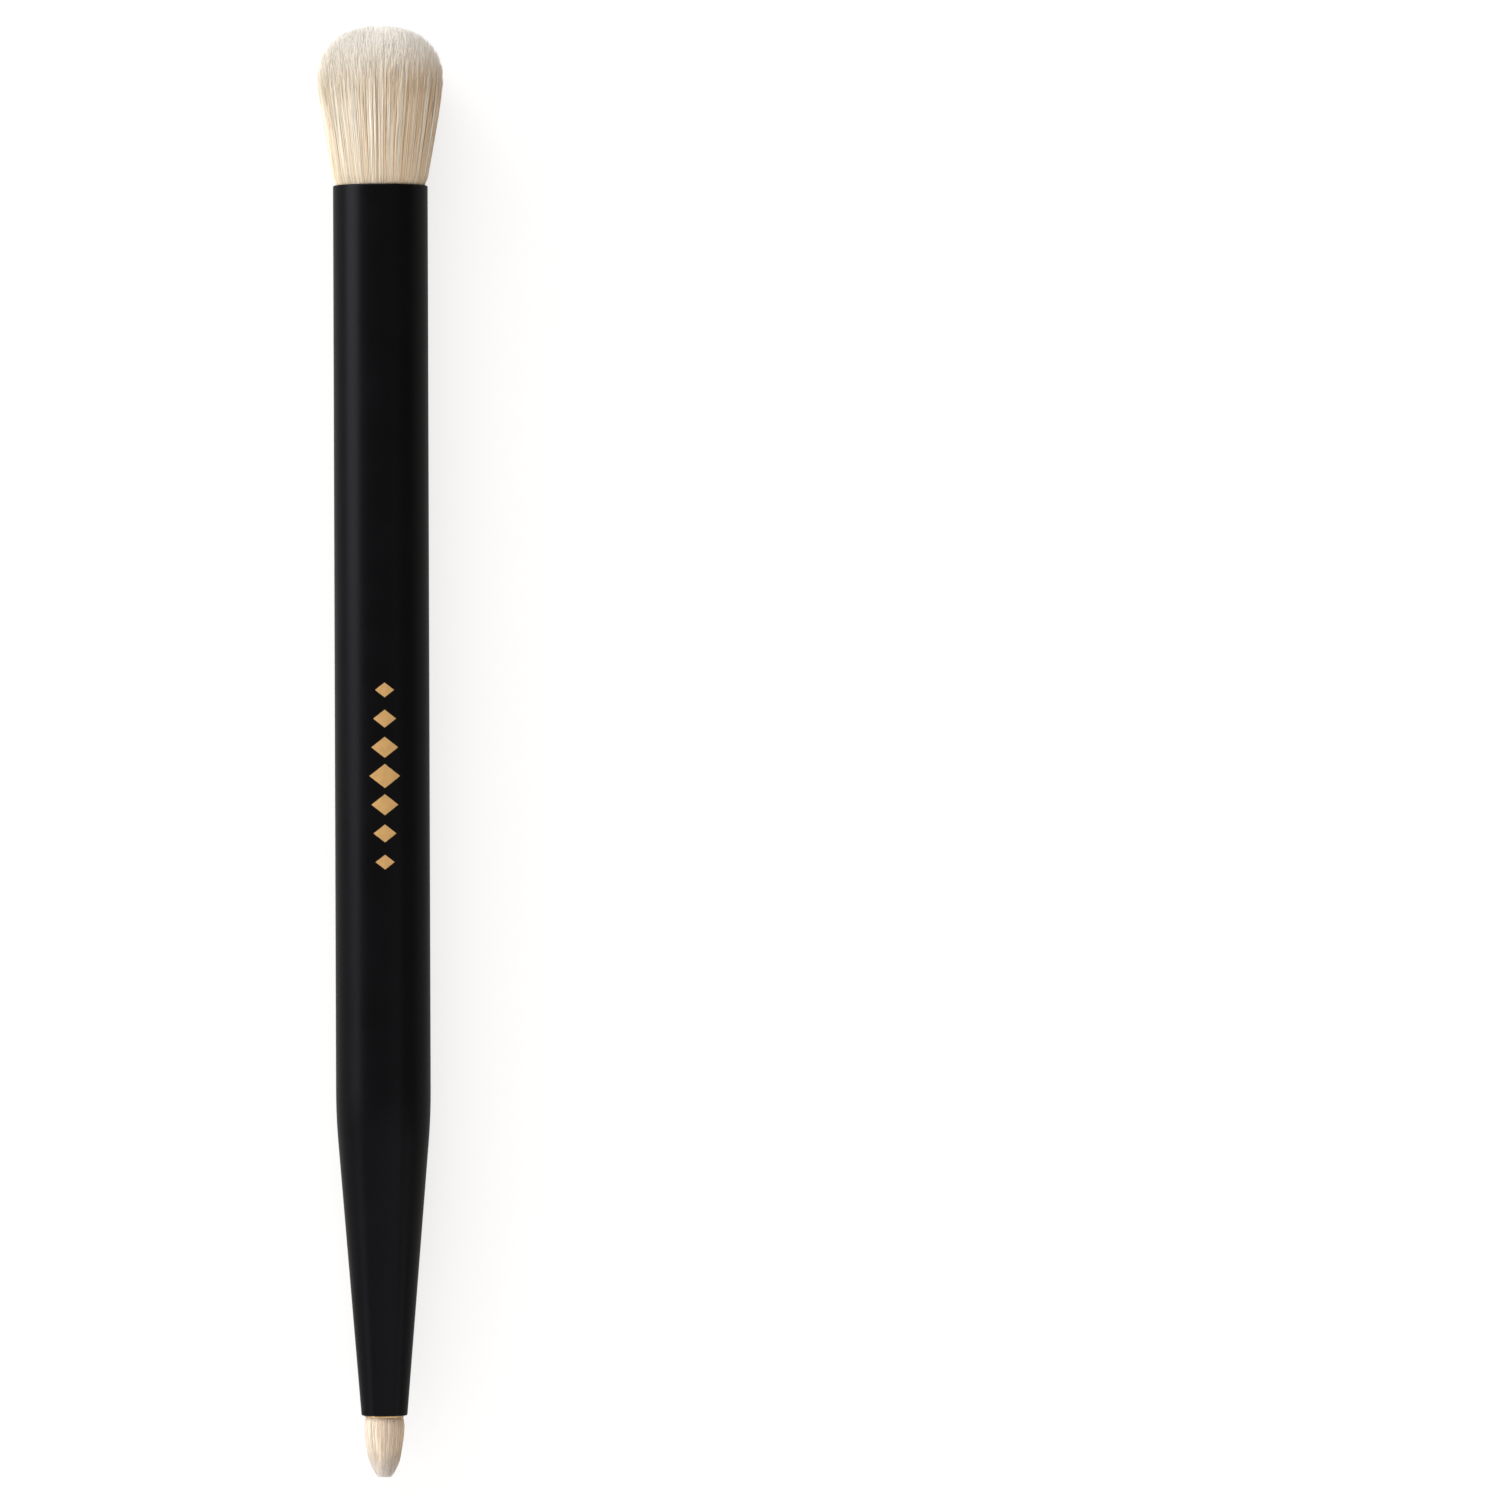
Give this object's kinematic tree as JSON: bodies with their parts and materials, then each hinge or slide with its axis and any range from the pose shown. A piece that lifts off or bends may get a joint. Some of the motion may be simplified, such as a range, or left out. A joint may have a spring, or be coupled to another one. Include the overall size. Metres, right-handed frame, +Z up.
{
  "type": "eyeshadow brush",
  "caption": "Double-ended eyeshadow brush: slim black barrel tapering to a small pencil tuft, with a large domed blending tuft at the other end.",
  "frame": {"origin": "on the surface that the brush lies on, below the middle of its length", "axes": "+Y along the brush towards the large tuft, +Z up from the surface, +X to the right of someone looking along +Y"},
  "size_m": [0.0124, 0.15, 0.0125],
  "materials": {
    "black_lacquer": "satin black lacquer on a drawn metal tube",
    "core_wood": "turned, bare",
    "ferrule_brass": "drawn, satin",
    "glue_resin": "cast resin",
    "bristle": "soft cream fibre",
    "binding_thread": "twisted thread"
  },
  "bodies": {
    "root": {"handle_tube": "black_lacquer", "handle_core": "core_wood", "large_ferrule": "ferrule_brass", "large_glue_plug": "glue_resin", "large_tuft": "bristle", "large_binding": "binding_thread", "small_ferrule": "ferrule_brass", "small_glue_plug": "glue_resin", "small_tuft": "bristle", "small_binding": "binding_thread"}
  },
  "joints": []
}
